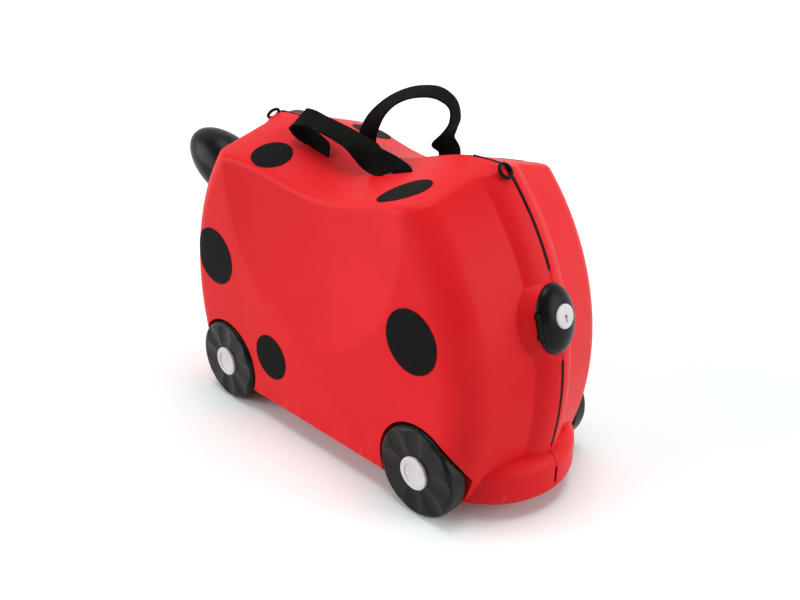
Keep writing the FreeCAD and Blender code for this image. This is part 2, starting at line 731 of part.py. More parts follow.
def axle():
    """White pin whose broad head caps the wheel."""
    axis = V(0, 1, 0)
    start = V(-WHEEL_X, CAP_FACE_Y - CAP_THICK, WHEEL_RADIUS)
    cap = rod(CAP_RADIUS, start, axis, CAP_THICK)
    cap = cap.makeFillet(CAP_EDGE, [e for e in cap.Edges if e.BoundBox.YMin > CAP_FACE_Y - CAP_EDGE])
    cap = cap.cut(rod(CAP_DISC_RADIUS, V(-WHEEL_X, CAP_FACE_Y - CAP_DISC_DEPTH, WHEEL_RADIUS), axis, OVERRUN))
    low = WELL_Y - BOSS_DEPTH - AXLE_TAIL
    pin = rod(AXLE_RADIUS, V(-WHEEL_X, low, WHEEL_RADIUS), axis, CAP_FACE_Y - CAP_THICK - low)
    return cap.fuse(pin)


def axle_clip():
    start = V(-WHEEL_X, WELL_Y - BOSS_DEPTH - CLIP_THICK, WHEEL_RADIUS)
    ring = rod(CLIP_RADIUS, start, V(0, 1, 0), CLIP_THICK)
    return ring.cut(axle_bore(AXLE_RADIUS))


# Tow eye

def end_x(z, inset):
    return END_CENTRE_X - math.sqrt((SPINE_RADIUS - inset) ** 2 - (z - END_CENTRE_Z) ** 2)


def tow_eye(side):
    """Rod laid over the top of an end's seam, with a ring leaning on its left, drawn at the rear end."""
    corner_z = roof_height(side * TOW_CORNER_X, 0, TOW_SUNK)
    front = V(-TOW_FRONT_X, 0, roof_height(side * TOW_FRONT_X, 0, TOW_SUNK))
    corner = V(end_x(corner_z, TOW_SUNK), 0, corner_z)
    end = V(end_x(TOW_END_Z, TOW_SUNK), 0, TOW_END_Z)
    into = (corner - front).normalize()
    away = (end - corner).normalize()
    half = into.getAngle(away) / 2
    first = corner - into * (TOW_BEND * math.tan(half))
    last = corner + away * (TOW_BEND * math.tan(half))
    middle = corner - (into - away).normalize() * (TOW_BEND / math.cos(half) - TOW_BEND)
    path = Part.Wire([
        Part.LineSegment(front, first).toShape(),
        Part.Arc(first, middle, last).toShape(),
        Part.LineSegment(last, end).toShape(),
    ])
    section = Part.Wire([Part.Circle(front, into, TOW_ROD).toShape()])
    bar = path.makePipeShell([section], True, False)
    for foot, run in ((front + into * TOW_ROD, into), (end - away * TOW_ROD, away)):
        bar = bar.fuse(rod(TOW_PEG_RADIUS, foot, V(-run.z, 0, run.x), TOW_PEG_LENGTH))
    out = V(away.z, 0, -away.x)
    lean = math.radians(TOW_RING_LEAN_DEG)
    flop = out * math.cos(lean) + V(0, 1, 0) * math.sin(lean)
    hub = corner + away * TOW_RING_STEP + out * TOW_RING_LIFT + flop * TOW_RING_RADIUS
    return bar.fuse(Part.makeTorus(TOW_RING_RADIUS, TOW_RING_ROD, hub, flop.cross(away)))


# Trim strip behind the seam, and the packing straps

def seam_trim():
    """Strip behind the seam, with ribs that fill the slots of both ends."""
    deep = half_body(WALL + TRIM_THICK, False)
    near = half_body(WALL, True).cut(deep)
    far = half_body(WALL + TRIM_CLEAR, False).cut(deep)
    span = box(-REACH_X, REACH_X, 0, TRIM_REACH, TRIM_LOW_Z, TOP_Z)
    strip = near.common(span).fuse(other_side(far.common(span)))
    skin = half_body(RIB_SUNK, True).cut(half_body(WALL + TRIM_THICK / 2, False))
    for slot in seam_slots(SLOT_HALF - RIB_CLEAR, TRIM_SLOTS):
        for rib in [cut.common(skin) for cut in both_ends(slot)]:
            strip = strip.fuse(rib).fuse(other_side(rib))
    return strip.removeSplitter()


def packing_strap(turn, y, space):
    half = PACK_STRAP_WIDTH / 2
    band = box(-REACH_X, REACH_X, y, y + PACK_STRAP_THICK, -half, half)
    band.rotate(V(0, 0, 0), V(0, 1, 0), turn)
    return band.translated(V(0, 0, PACK_STRAP_Z)).common(space)


def strap_anchor(strap, turn, y, space):
    """Blocks on the end walls that clamp the two ends of a packing strap."""
    half = PACK_STRAP_WIDTH / 2
    block = box(-REACH_X, REACH_X, y, y + PACK_ANCHOR_THICK, -half, half)
    block.rotate(V(0, 0, 0), V(0, 1, 0), turn)
    block = block.translated(V(0, 0, PACK_STRAP_Z)).common(space)
    middle = box(-REACH_X, REACH_X, 0, SIDE_Y, -PACK_STRAP_WIDTH, PACK_STRAP_WIDTH)
    middle.rotate(V(0, 0, 0), V(0, 1, 0), turn)
    middle = middle.translated(V(0, 0, PACK_STRAP_Z)).common(space)
    along = FreeCAD.Rotation(V(0, 1, 0), turn).multVec(V(PACK_ANCHOR_LENGTH, 0, 0))
    return block.cut(middle.translated(along).common(middle.translated(-along))).cut(strap)


def strap_buckle(straps):
    y = PACK_STRAP_Y + PACK_STRAP_THICK - BUCKLE_THICK / 2
    disc = rod(BUCKLE_RADIUS, V(0, y, PACK_STRAP_Z), V(0, 1, 0), BUCKLE_THICK)
    disc = disc.makeFillet(BUCKLE_EDGE, [e for e in disc.Edges if len(e.Vertexes) == 1])
    for strap in straps:
        disc = disc.cut(strap)
    return disc


def finish_shell(body, space, side, first_knuckle, pad_side):
    """Hollow one half and add its latch pads, axle bosses, hinge knuckles and slots."""
    pads = [pad.common(pad_side) for pad in both_ends(latch_pad())]
    bosses = both_ends(axle_boss())
    bores = both_ends(axle_bore(AXLE_RADIUS))
    slots = strap_slots()
    if side < 0:
        bosses = [other_side(boss) for boss in bosses]
        bores = [other_side(bore) for bore in bores]
        slots = [other_side(slot) for slot in slots]
    for pad in pads:
        body = body.fuse(pad)
    shell = body.cut(space)
    for boss in bosses + knuckles(first_knuckle, side):
        shell = shell.fuse(boss)
    for cut in bores + slots:
        shell = shell.cut(cut)
    seam = box(-REACH_X, REACH_X, -SEAM_GAP, SEAM_GAP, HINGE_Z + KNUCKLE_RADIUS, TOP_Z)
    low_seam = box(-REACH_X, -HINGE_LENGTH / 2, -SEAM_GAP, SEAM_GAP, 0, FLOOR_Z)
    for cut in [seam, low_seam, other_end(low_seam)]:
        shell = shell.cut(cut)
    for slot in seam_slots(SLOT_HALF, ALL_SLOTS):
        shell = shell.cut(slot).cut(other_end(slot))
    return shell


def build():
    os.makedirs("parts", exist_ok=True)
    body = outer_half()
    space = inner_half()
    left_room = box(-REACH_X, REACH_X, 0, SIDE_Y, 0, TOP_Z)

    left = finish_shell(body, space, 1, 0, left_room)
    for hole in latch_screw_holes():
        placed = on_rear_end(hole)
        left = left.cut(placed).cut(other_end(placed))
    left = left.cut(horn_stud(HORN_STUD_RADIUS))
    write("left_shell", left)

    right = finish_shell(other_side(body), other_side(space), -1, 1, other_side(left_room))
    write("right_shell", right.cut(other_side(horn_stud(HORN_STUD_RADIUS))))

    write("hinge_pin", hinge_rod(HINGE_PIN_RADIUS))
    eyes = [tow_eye(-1), other_end(tow_eye(1))]
    write("tow_eye_rear", eyes[0])
    write("tow_eye_front", eyes[1])
    trim = seam_trim()
    for eye in eyes:
        trim = trim.cut(eye)
    write("seam_trim", trim)

    for piece, make in (("wheel", wheel), ("axle", axle)):
        rear = make()
        write(piece + "_rear_left", rear)
        write(piece + "_front_left", other_end(rear))
        write(piece + "_rear_right", other_side(rear))
        write(piece + "_front_right", other_side(other_end(rear)))
    clips = both_ends(axle_clip())
    write("axle_clips_left", *clips)
    write("axle_clips_right", *[other_side(clip) for clip in clips])

    pin = barrel(LATCH_PIN_RADIUS, -LATCH_EAR_HALF, LATCH_EAR_HALF)
    for name, shapes in (("latch", [latch_flap()]), ("latch_bracket", [latch_bracket()]),
                         ("latch_pin", [pin]), ("latch_screws", latch_screws()),
                         ("lock", [lock_barrel()]), ("lock_clip", [lock_clip()])):
        placed = [on_rear_end(shape) for shape in shapes]
        write(name + "_rear", *placed)
        write(name + "_front", *[other_end(shape) for shape in placed])

    grip = horn(body)
    nut = horn_nut(space)
    write("horn_left", grip)
    write("horn_right", other_side(grip))
    write("horn_nut_left", nut)
    write("horn_nut_right", other_side(nut))

    plates = handle_plates(space)
    slumped = handle_strap(SLUMPED_LOOP_SHARES, SLUMPED_FEET_SHARES)
    clamps = handle_clamps(slumped, space)
    write("handle_left", slumped)
    standing = handle_strap(STANDING_LOOP_SHARES, STANDING_FEET_SHARES)
    write("handle_right", other_side(standing))
    for name, pieces in (("handle_plates", plates), ("handle_clamps", clamps)):
        write(name + "_left", *pieces)
        write(name + "_right", *[other_side(piece) for piece in pieces])

    turns = (PACK_STRAP_ANGLE_DEG, -PACK_STRAP_ANGLE_DEG)
    levels = (PACK_STRAP_Y, PACK_STRAP_Y + PACK_STRAP_THICK)
    straps = [packing_strap(turn, y, space) for turn, y in zip(turns, levels)]
    for name, strap in zip(("packing_strap_lower", "packing_strap_upper"), straps):
        write(name, strap)
    write("packing_buckle", strap_buckle(straps))
    anchors = [strap_anchor(*row, space) for row in zip(straps, turns, levels)]
    write("packing_anchors", *anchors)


build()
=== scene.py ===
# %% [markdown]
# # Dressing a ride-on suitcase
# The suitcase is already built as separate parts: two red half shells, wheels, latches, horns and
# straps. Here each part gets its finish, and the pieces that a solid model shows too stiffly, such as
# the webbing straps and the printed spots, are modelled again as soft or thin pieces.

# %% Load the frame
import math

import bpy
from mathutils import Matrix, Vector


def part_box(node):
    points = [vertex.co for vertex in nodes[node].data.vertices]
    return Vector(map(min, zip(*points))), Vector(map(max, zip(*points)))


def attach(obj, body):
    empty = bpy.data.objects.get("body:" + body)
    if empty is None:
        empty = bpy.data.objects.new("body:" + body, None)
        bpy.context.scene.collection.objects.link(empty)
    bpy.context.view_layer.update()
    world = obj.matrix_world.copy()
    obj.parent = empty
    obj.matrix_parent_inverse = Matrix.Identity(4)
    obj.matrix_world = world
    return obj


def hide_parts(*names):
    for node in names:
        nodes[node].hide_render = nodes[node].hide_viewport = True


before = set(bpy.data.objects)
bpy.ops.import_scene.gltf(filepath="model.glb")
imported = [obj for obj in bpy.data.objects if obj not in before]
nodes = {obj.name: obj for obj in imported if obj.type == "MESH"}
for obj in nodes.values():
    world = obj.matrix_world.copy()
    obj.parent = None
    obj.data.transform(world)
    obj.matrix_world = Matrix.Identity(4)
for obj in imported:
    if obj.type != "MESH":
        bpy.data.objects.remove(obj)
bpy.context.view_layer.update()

# %% [markdown]
# ## Camera
# The picture is taken from a little above, looking at one corner, so that a long side, the latch end
# and the roof all show. The place and the turn were worked out from where the wheels, the latch and
# the roof's edges fall in the picture. A lens of about 40 mm gives the mild perspective.

# %% Camera
CAMERA_PLACE = Vector((-0.5978, 0.5621, 0.5135))
CAMERA_YAW = math.radians(-44.47355)
CAMERA_DIP = math.radians(24.79955)
FOCAL_PIXELS = 880.1545
PICTURE_WIDTH = 800

look = Vector((math.cos(CAMERA_DIP) * math.cos(CAMERA_YAW),
               math.cos(CAMERA_DIP) * math.sin(CAMERA_YAW), -math.sin(CAMERA_DIP)))
bpy.ops.object.camera_add(location=CAMERA_PLACE)
camera = bpy.context.object
camera.rotation_euler = look.to_track_quat("-Z", "Y").to_euler()
camera.data.lens = FOCAL_PIXELS / PICTURE_WIDTH * camera.data.sensor_width
bpy.context.scene.camera = camera
bpy.context.scene.view_settings.view_transform = "Standard"
print("lens", round(camera.data.lens, 2), "mm")

# %% [markdown]
# ## A way to write finishes
# A finish is a shader, and most of what makes plastic look like plastic is small sums on patterns: a
# grain here, a little more gloss there. Adding each Math node by hand is slow to read, so a value on
# the surface is wrapped in a small class, and ordinary arithmetic on it adds the nodes.

# %% Values and finishes
class Amount:
    """A number that changes over a surface. Arithmetic on it adds Math nodes."""

    def __init__(self, finish, socket):
        self.finish = finish
        self.socket = socket

    def sum(self, operation, *terms):
        made = self.finish.node("ShaderNodeMath", {"operation": operation}, dict(enumerate(terms)))
        return Amount(self.finish, made.outputs[0])

    def __add__(self, other):
        return self.sum("ADD", self, other)

    def __sub__(self, other):
        return self.sum("SUBTRACT", self, other)

    def __rsub__(self, other):
        return self.sum("SUBTRACT", other, self)

    def __mul__(self, other):
        return self.sum("MULTIPLY", self, other)

    def __abs__(self):
        return self.sum("ABSOLUTE", self)

    __radd__ = __add__

    def sine(self):
        return self.sum("SINE", self)

    def root(self):
        return self.sum("SQRT", self)

    def most(self, other):
        return self.sum("MAXIMUM", self, other)

    def fade(self, start, end):
        """0 at start, 1 at end, and smooth between them."""
        made = self.finish.node("ShaderNodeMapRange", {"interpolation_type": "SMOOTHSTEP"},
                                {"Value": self, "From Min": start, "From Max": end})
        return Amount(self.finish, made.outputs["Result"])


class Finish:
    """One material, or the world, with the shader that its patterns feed."""

    def __init__(self, name, world=False):
        self.material = bpy.data.worlds.new(name) if world else bpy.data.materials.new(name)
        self.material.use_nodes = True
        self.tree = self.material.node_tree
        self.shader = self.tree.nodes["Background" if world else "Principled BSDF"]

    def node(self, kind, settings=None, values=None):
        made = self.tree.nodes.new(kind)
        for key, value in (settings or {}).items():
            setattr(made, key, value)
        for key, value in (values or {}).items():
            self.feed(made.inputs[key], value)
        return made

    def feed(self, socket, value):
        if isinstance(value, Amount):
            value = value.socket
        if isinstance(value, bpy.types.NodeSocket):
            self.tree.links.new(value, socket)
        else:
            socket.default_value = value

    def set(self, **values):
        for key, value in values.items():
            self.feed(self.shader.inputs[key.replace("_", " ")], value)

    def place(self):
        return self.node("ShaderNodeTexCoord").outputs["Object"]

    def parts_of(self, vector):
        split = self.node("ShaderNodeSeparateXYZ", values={"Vector": vector})
        return [Amount(self, socket) for socket in split.outputs]

    def noise(self, vector, scale, detail=2.0, stretch=(1.0, 1.0, 1.0)):
        if stretch != (1.0, 1.0, 1.0):
            vector = self.node("ShaderNodeMapping", values={"Vector": vector, "Scale": stretch}).outputs[0]
        made = self.node("ShaderNodeTexNoise", values={"Vector": vector, "Scale": scale, "Detail": detail})
        return Amount(self, made.outputs["Fac"])

    def blend(self, share, first, second):
        made = self.node("ShaderNodeMix", {"data_type": "RGBA"}, {0: share, 6: first, 7: second})
        return made.outputs[2]

    def relief(self, height, depth, strength=1.0):
        made = self.node("ShaderNodeBump",
                         values={"Height": height, "Distance": depth, "Strength": strength})
        self.set(Normal=made.outputs["Normal"])


def tint(red, green, blue):
    """A colour as a paint chart gives it, from 0 to 255, made linear for the shader."""
    parts = [part / 255 for part in (red, green, blue)]
    return tuple(p / 12.92 if p <= 0.04045 else ((p + 0.055) / 1.055) ** 2.4 for p in parts) + (1.0,)


# %% [markdown]
# ## Red shell
# The halves are moulded in a through-coloured plastic with a fine spark-eroded texture, which breaks
# the shine into a satin sheen. A picture of grain would show its tiles, so three sizes of noise are
# used: a slow drift of colour, a gentle ripple left by the mould, and the grain itself, about half a
# millimetre across. The bumpers low at the ends get a little scuffing, as they do in use.

# %% Red shell finish
def shell_finish():
    finish = Finish("shell_red")
    place = finish.place()
    drift = finish.noise(place, 11.0, 3.0)
    ripple = finish.noise(place, 210.0, 1.0)
    grain = finish.noise(place, 1900.0, 2.0)
    height = finish.parts_of(place)[2]
    low = height.fade(0.075, 0.02)
    scuff = finish.noise(place, 160.0, 4.0, (1.0, 1.0, 0.35)).fade(0.60, 0.72) * low
    red = finish.blend(drift.fade(0.3, 0.7), tint(232, 28, 35), tint(238, 35, 41))
    finish.set(Base_Color=finish.blend(scuff * 0.25, red, tint(240, 120, 118)),
               Roughness=0.37 + drift * 0.08 + grain * 0.06 + scuff * 0.15)
    finish.shader.inputs["Specular IOR Level"].default_value = 0.12
    finish.relief(ripple * 0.55 + grain * 0.45, 0.00012, 0.55)
    return finish.material


# %% [markdown]
# ## Black finishes
# Four different blacks sit side by side on this case: polished horns and latches, satin wheels,
# grained small fittings and flat printed spots. If they shared one black they would read as holes, so
# each has its own depth of colour, gloss and grain.

# %% Black plastic finishes
def gloss_finish():
    finish = Finish("black_gloss")
    place = finish.place()
    smear = finish.noise(place, 75.0, 3.0)
    finish.set(Base_Color=finish.blend(smear.fade(0.35, 0.7), tint(15, 15, 16), tint(21, 21, 22)),
               Roughness=0.24 + smear * 0.12)
    finish.shader.inputs["Specular IOR Level"].default_value = 0.12
    finish.relief(finish.noise(place, 1200.0, 2.0), 0.00003, 0.4)
    return finish.material


def fitting_finish():
    finish = Finish("black_plastic")
    place = finish.place()
    drift = finish.noise(place, 60.0, 3.0)
    grain = finish.noise(place, 2200.0, 2.0)
    finish.set(Base_Color=finish.blend(drift.fade(0.35, 0.7), tint(10, 10, 11), tint(17, 16, 17)),
               Roughness=0.45 + drift * 0.12 + grain * 0.06)
    finish.shader.inputs["Specular IOR Level"].default_value = 0.1
    finish.relief(grain, 0.00006, 0.5)
    return finish.material


WHEEL_X = 0.14525
WHEEL_RADIUS = 0.045


def wheel_finish():
    """Satin black, dusty on the tread and faintly marked round the face by the mould."""
    finish = Finish("wheel_black")
    place = finish.place()
    along, across, height = finish.parts_of(place)
    forward = abs(along) - WHEEL_X
    above = height - WHEEL_RADIUS
    reach = (forward * forward + above * above).root()
    rings = (reach * 9000.0).sine()
    drift = finish.noise(place, 70.0, 3.0)
    grain = finish.noise(place, 1500.0, 2.0)
    dust = reach.fade(0.0425, 0.0449) * finish.noise(place, 240.0, 4.0).fade(0.42, 0.75)
    black = finish.blend(drift.fade(0.35, 0.7), tint(10, 11, 10), tint(17, 17, 16))
    finish.set(Base_Color=finish.blend(dust * 0.35, black, tint(86, 82, 78)),
               Roughness=0.27 + drift * 0.08 + grain * 0.05 + dust * 0.25)
    finish.shader.inputs["Specular IOR Level"].default_value = 0.18
    finish.relief(grain * 0.7 + rings * 0.3, 0.00005, 0.45)
    return finish.material


def spot_finish():
    """Printed spot: a flat black that still shows the grain of the shell under it."""
    finish = Finish("spot_black")
    place = finish.place()
    drift = finish.noise(place, 40.0, 3.0)
    grain = finish.noise(place, 1900.0, 2.0)
    finish.set(Base_Color=finish.blend(drift.fade(0.35, 0.7), tint(14, 13, 12), tint(19, 18, 17)),
               Roughness=0.50 + drift * 0.08 + grain * 0.06)
    finish.shader.inputs["Specular IOR Level"].default_value = 0.05
    finish.relief(grain, 0.0001, 0.5)
    return finish.material


# %% [markdown]
# ## White caps and steel
# The axle caps and the turn locks are moulded in a cool off-white. They are small and pale, so a flat
# colour would look like a hole in the black: a faint mottle and a soft sheen keep them solid. The pins
# and clips are drawn wire and stamped sheet, so their steel is streaked along one direction.

# %% Cap and steel finishes
def cap_finish():
    finish = Finish("white_plastic")
    place = finish.place()
    drift = finish.noise(place, 90.0, 3.0)
    grain = finish.noise(place, 1600.0, 2.0)
    finish.set(Base_Color=finish.blend(drift.fade(0.3, 0.7), tint(222, 218, 223), tint(232, 229, 232)),
               Roughness=0.36 + drift * 0.10)
    finish.relief(grain, 0.00004, 0.4)
    return finish.material


def steel_finish():
    finish = Finish("steel")
    place = finish.place()
    streak = finish.noise(place, 380.0, 3.0, (0.08, 1.0, 1.0))
    finish.set(Base_Color=finish.blend(streak, tint(168, 170, 174), tint(196, 197, 200)),
               Metallic=1.0, Roughness=0.24 + streak * 0.16)
    finish.relief(streak, 0.00002, 0.4)
    return finish.material


# %% [markdown]
# ## Webbing
# Strap webbing is woven flat: fine ribs run across it, each made of warp threads that pass over and
# under, and the two selvedges are bound tighter. The pattern has to follow the strap round its
# bends, so it reads the strap's own flat layout, which is kept in its UV map in centimetres.

# %% Webbing finish
CENTIMETRES = 100
WARPS_PER_CM = 5.0
RIBS_PER_CM = 4.0


def webbing_finish(name, width):
    finish = Finish(name)
    flat = finish.node("ShaderNodeTexCoord").outputs["UV"]
    across, along, _ = finish.parts_of(flat)
    place = finish.place()
    fuzz = finish.noise(place, 2600.0, 3.0)
    drift = finish.noise(place, 55.0, 3.0)
    warp = (across * (2 * math.pi * WARPS_PER_CM)).sine()
    over = (along * (2 * math.pi * RIBS_PER_CM) + warp * 1.2).sine()
    weave = over * 0.5 + warp * 0.25 + fuzz * 0.5
    half = width * CENTIMETRES / 2
    edge = abs(across - half).fade(half - 0.22, half - 0.12)
    # The rib tops are painted lighter and the hollows between the ribs darker: painted highlight and
    # painted shade on the weave.
    painted_rib_light = over.fade(-0.2, 1.0)
    black = finish.blend(painted_rib_light, tint(3, 3, 3), tint(28, 28, 26))
    worn = finish.noise(place, 130.0, 3.0).fade(0.55, 0.75) * edge
    finish.set(Base_Color=finish.blend(worn * 0.4, black, tint(52, 50, 50)),
               Roughness=0.72 + drift * 0.14)
    finish.shader.inputs["Specular IOR Level"].default_value = 0.04
    finish.relief(weave * (1 - edge * 0.6) + edge * 0.5, 0.00032, 0.8)
    return finish.material


# %% [markdown]
# ## Finishes onto the parts
# Every solid part keeps its shape and gets the finish that the table below gives to the start of its name.
# The straps are replaced further down, so they need nothing here.

# %% Put the finishes on
finishes = {"shell_red": shell_finish(), "black_plastic": fitting_finish(), "black_gloss": gloss_finish(),
            "wheel_black": wheel_finish(), "white_plastic": cap_finish(), "steel": steel_finish(),
            "spot_black": spot_finish()}
PART_SLOTS = {
    "shell_red": ("left_shell", "right_shell"),
    "black_gloss": ("latch_", "horn_left", "horn_right"),
    "wheel_black": ("wheel_",),
    "white_plastic": ("axle_front", "axle_rear", "lock_front", "lock_rear"),
    "steel": ("hinge_pin", "axle_clips", "latch_pin", "latch_screws", "lock_clip"),
}


def finish_name(part):
    """The longest match wins, so that a latch's pin is steel and its flap is glossy."""
    matches = [(len(start), name) for name, starts in PART_SLOTS.items()
               for start in starts if part.startswith(start)]
    return max(matches)[1] if matches else "black_plastic"


for name, part in nodes.items():
    part.data.materials.clear()
    part.data.materials.append(finishes[finish_name(name)])
print({name: finish_name(name) for name in sorted(nodes)})

# %% [markdown]
# ## Hand tools
# Pieces are modelled as by hand: add a primitive, shape it in edit mode, and finish it with modifiers.
# An operator acts on everything that is selected, so each piece starts with nothing selected, and its
# place is baked into its mesh at the end, because every part of the frame sits at the origin.

# %% Small helpers
def start_clean():
    if bpy.context.mode != "OBJECT":
        bpy.ops.object.mode_set(mode="OBJECT")
    bpy.ops.object.select_all(action="DESELECT")


def add_modifier(piece, kind, **settings):
    modifier = piece.modifiers.new(kind.title(), kind)
    for key, value in settings.items():
        setattr(modifier, key, value)
    bpy.ops.object.modifier_apply(modifier=modifier.name)


def settle(piece, name, finish, body):
    """Bake the place into the mesh, name the piece, and let it ride with its body."""
    bpy.ops.object.transform_apply(location=True, rotation=True, scale=True)
    piece.name = name
    piece.data.name = name
    piece.data.materials.clear()
    piece.data.materials.append(finish)
    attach(piece, body)
    return piece


# %% [markdown]
# ## Carrying straps
# Each strap is one flat band that comes up through a slot, loops over and goes down through the other
# slot. It is laid out flat first, as a grid as long as the strap, and then each row of the grid is
# carried to its place along the loop. Rows are evenly spaced along the loop, so the weave never
# stretches. The near loop has slumped to one side and the far one stands.

# %% Route of a band
STRAP_WIDTH = 0.026
STRAP_THICK = 0.002
STRAP_Y = 0.031
SEAT_Z = 0.287
LOOP_WIDTH = 0.078
LOOP_HEIGHT = 0.060
# Each foot: place along the case, bottom of its tail and top of its slot, rear one first.
FEET = [(-0.059, 0.27393, 0.28853), (0.054, 0.27110, 0.28570)]
# Stations from the rear foot to the front one: place along the case and height above the seat, in
# shares of the loop's half width and height, then twist and lean in shares of a right angle.
SLUMPED_LOOP = [
    (-0.724, 0.058, -0.889, 0.178), (-0.628, 0.05, -0.711, 0.356), (-0.513, 0.058, -0.578, 0.511),
    (-0.385, 0.075, -0.556, 0.667), (-0.269, 0.108, -0.5, 0.644), (-0.167, 0.183, -0.278, 0.356),
    (-0.026, 0.267, -0.089, 0.144), (0.179, 0.342, -0.011, 0.111), (0.462, 0.408, 0, 0.1),
    (0.744, 0.458, 0.056, 0.133), (0.936, 0.483, 0.156, 0.222), (1.064, 0.45, 0.211, 0.267),
    (1.115, 0.342, 0.133, 0.089), (1.013, 0.242, -0.067, -0.022), (0.859, 0.15, -0.333, -0.022),
    (0.731, 0.083, -0.689, 0), (0.692, 0.042, -0.989, 0)]
STANDING_LOOP = [
    (-0.756, 0.117, 0.956, 0), (-0.705, 0.2, 0.556, 0), (-0.667, 0.3, 0.111, 0),
    (-0.744, 0.45, -0.111, 0), (-0.833, 0.65, -0.222, 0), (-0.808, 0.867, -0.3, -0.044),
    (-0.603, 1, -0.311, -0.111), (-0.256, 0.975, -0.311, -0.156), (0.103, 0.817, -0.422, -0.178),
    (0.397, 0.567, -0.644, -0.156), (0.59, 0.292, -0.867, -0.111), (0.679, 0.067, -0.978, -0.022)]
SLUMPED_TWISTS = (-1, -1)
STANDING_TWISTS = (1, -1)


def loop_stations(loop, twists):
    """Centre, twist and lean of the band at each station, with the straight tails at both feet."""
    tails = [[((x, STRAP_Y, z), twist, 0.0) for z in (low, top)]
             for (x, low, top), twist in zip(FEET, twists)]
    middle = [((LOOP_WIDTH * along, STRAP_Y, SEAT_Z + LOOP_HEIGHT * lift), twist, lean)
              for along, lift, twist, lean in loop]
    return [(Vector(centre), twist, lean) for centre, twist, lean in tails[0] + middle + tails[1][::-1]]


def spline_between(values, spans, index, share):
    """Catmull-Rom through four neighbours, with their real spacing, so that it never loops back."""
    last = len(values) - 1
    before, start, end, after = (values[min(max(k, 0), last)] for k in range(index - 1, index + 3))
    here = spans[index]
    back = spans[index - 1] if index > 0 else here
    ahead = spans[index + 1] if index + 1 < len(spans) else here
    leave = ((end - start) / here + (start - before) / back) * 0.5
    arrive = ((after - end) / ahead + (end - start) / here) * 0.5
    square, cube = share ** 2, share ** 3
    return (start * (2 * cube - 3 * square + 1) + leave * (here * (cube - 2 * square + share))
            + end * (3 * square - 2 * cube) + arrive * (here * (cube - square)))


FINE_STEPS = 40


def even_rows(stations, spacing):
    """Rows at equal steps along the smooth route, each with its centre, twist and lean, and the route's
    length.
    """
    centres = [station[0] for station in stations]
    spans = [(after - before).length for before, after in zip(centres, centres[1:])]
    fine = []
    for index in range(len(spans)):
        for step in range(FINE_STEPS):
            share = step / FINE_STEPS
            fine.append([spline_between([station[k] for station in stations], spans, index, share)
                         for k in range(3)])
    fine.append(list(stations[-1]))
    travelled = [0.0]
    for before, after in zip(fine, fine[1:]):
        travelled.append(travelled[-1] + (after[0] - before[0]).length)
    count = round(travelled[-1] / spacing)
    rows, index = [], 0
    for row in range(count + 1):
        target = travelled[-1] * row / count
        while index < len(fine) - 2 and travelled[index + 1] < target:
            index += 1
        share = (target - travelled[index]) / (travelled[index + 1] - travelled[index])
        rows.append([a + (b - a) * share for a, b in zip(fine[index], fine[index + 1])])
    return rows, travelled[-1]


# %% Lay a band along its route
BAND_COLUMNS = 10
ROW_STEP = 0.0022
BAND_CROWN = 0.0004
SELVEDGE_SHARE = 0.42
RIGHT_ANGLE = math.pi / 2


def lay_band(rows, length, width, mirror):
    """A flat grid whose rows are carried to their stations. UVs keep the flat layout, in centimetres."""
    start_clean()
    bpy.ops.mesh.primitive_grid_add(x_subdivisions=BAND_COLUMNS, y_subdivisions=len(rows) - 1, size=1.0)
    band = bpy.context.object
    for corner in band.data.uv_layers.active.data:
        corner.uv = (corner.uv[0] * width * CENTIMETRES, corner.uv[1] * length * CENTIMETRES)
    for vertex in band.data.vertices:
        row = round((vertex.co.y + 0.5) * (len(rows) - 1))
        centre, twist, lean = rows[row]
        turn, tip = twist * RIGHT_ANGLE, lean * RIGHT_ANGLE
        across = Vector((-math.sin(turn) * math.cos(tip), math.cos(turn) * math.cos(tip), -math.sin(tip)))
        run = rows[min(row + 1, len(rows) - 1)][0] - rows[max(row - 1, 0)][0]
        face = run.cross(across).normalized()
        share = 2 * vertex.co.x
        place = centre + across * (share * width / 2) + face * (BAND_CROWN * (1 - share * share))
        vertex.co = (place.x, place.y * mirror, place.z)
    return band


def thicken(band, thick):
    """Thickness, rounded selvedges and smooth shading."""
    bpy.ops.object.mode_set(mode="EDIT")
    bpy.ops.mesh.select_all(action="SELECT")
    bpy.ops.mesh.normals_make_consistent(inside=False)
    bpy.ops.object.mode_set(mode="OBJECT")
    add_modifier(band, "SOLIDIFY", thickness=thick, offset=0.0)
    add_modifier(band, "BEVEL", width=thick * SELVEDGE_SHARE, segments=3, limit_method="ANGLE",
                 angle_limit=math.radians(50))
    bpy.ops.object.shade_smooth()


webbing = webbing_finish("webbing", STRAP_WIDTH)
for half, loop, twists, mirror in (("left", SLUMPED_LOOP, SLUMPED_TWISTS, 1),
                                   ("right", STANDING_LOOP, STANDING_TWISTS, -1)):
    rows, length = even_rows(loop_stations(loop, twists), ROW_STEP)
    strap = lay_band(rows, length, STRAP_WIDTH, mirror)
    thicken(strap, STRAP_THICK)
    settle(strap, "strap_" + half, webbing, half + "_half")
    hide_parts("handle_" + half)
    print(strap.name, "length", round(length, 3), "faces", len(strap.data.polygons))

# %% [markdown]
# ## Packing straps
# Two narrower bands cross inside the left half and hold the clothes in. They are pulled tight between
# their feet, so each is one straight run, and it stops a little short of the end walls, under its feet.
# The walls lean, so each end of a band has its own reach.

# %% Packing straps
PACK_WIDTH = 0.022
PACK_THICK = 0.0016
PACK_Z = 0.160
PACK_TURN = math.radians(24.0)
PACK_SHORT = 0.004
pack_webbing = webbing_finish("webbing_narrow", PACK_WIDTH)


def pack_end(wall, middle, slope):
    """Where the middle of a band stops, so that its farther corner stays off the wall."""
    reach = (abs(wall) - PACK_WIDTH / 2 * math.sin(PACK_TURN)) / math.cos(PACK_TURN) - PACK_SHORT
    run = math.copysign(reach, wall)
    return Vector((run * math.cos(PACK_TURN), middle, PACK_Z + slope * run * math.sin(PACK_TURN)))


